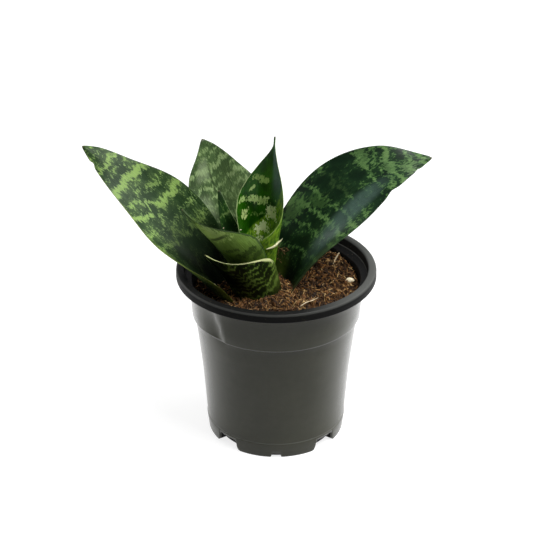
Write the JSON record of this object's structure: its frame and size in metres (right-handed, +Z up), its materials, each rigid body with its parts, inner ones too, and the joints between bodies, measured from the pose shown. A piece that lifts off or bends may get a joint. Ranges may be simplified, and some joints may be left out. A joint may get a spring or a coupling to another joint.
{
  "type": "potted snake plant",
  "caption": "Young bird's-nest snake plant: broad, channelled, cross-banded leaves rising from a short crown in a round dark plastic nursery pot filled with fibrous mix.",
  "frame": {"origin": "middle of the pot's flat underside", "axes": "+Z up along the pot's axis, -Y towards the viewer of the picture, +X to the viewer's right, along the widest spread of the leaves"},
  "size_m": [0.189, 0.1092, 0.1741],
  "materials": {
    "pot_plastic": "satin",
    "potting_mix": "matt, fibrous",
    "rhizome": "matt",
    "perlite": "matt",
    "leaf_outer": "satin, with light cross bands",
    "leaf_centre": "glossy, with light cross bands",
    "leaf_front": "satin, with broad pale bands"
  },
  "bodies": {
    "root": {"pot": "pot_plastic", "potting_mix": "potting_mix", "rhizome": "rhizome", "perlite_grain": "perlite", "left_leaf": "leaf_outer", "right_leaf": "leaf_outer", "back_leaf": "leaf_outer", "centre_leaf": "leaf_centre", "young_leaf": "leaf_centre", "front_left_leaf": "leaf_front", "front_low_leaf": "leaf_front"}
  },
  "joints": []
}
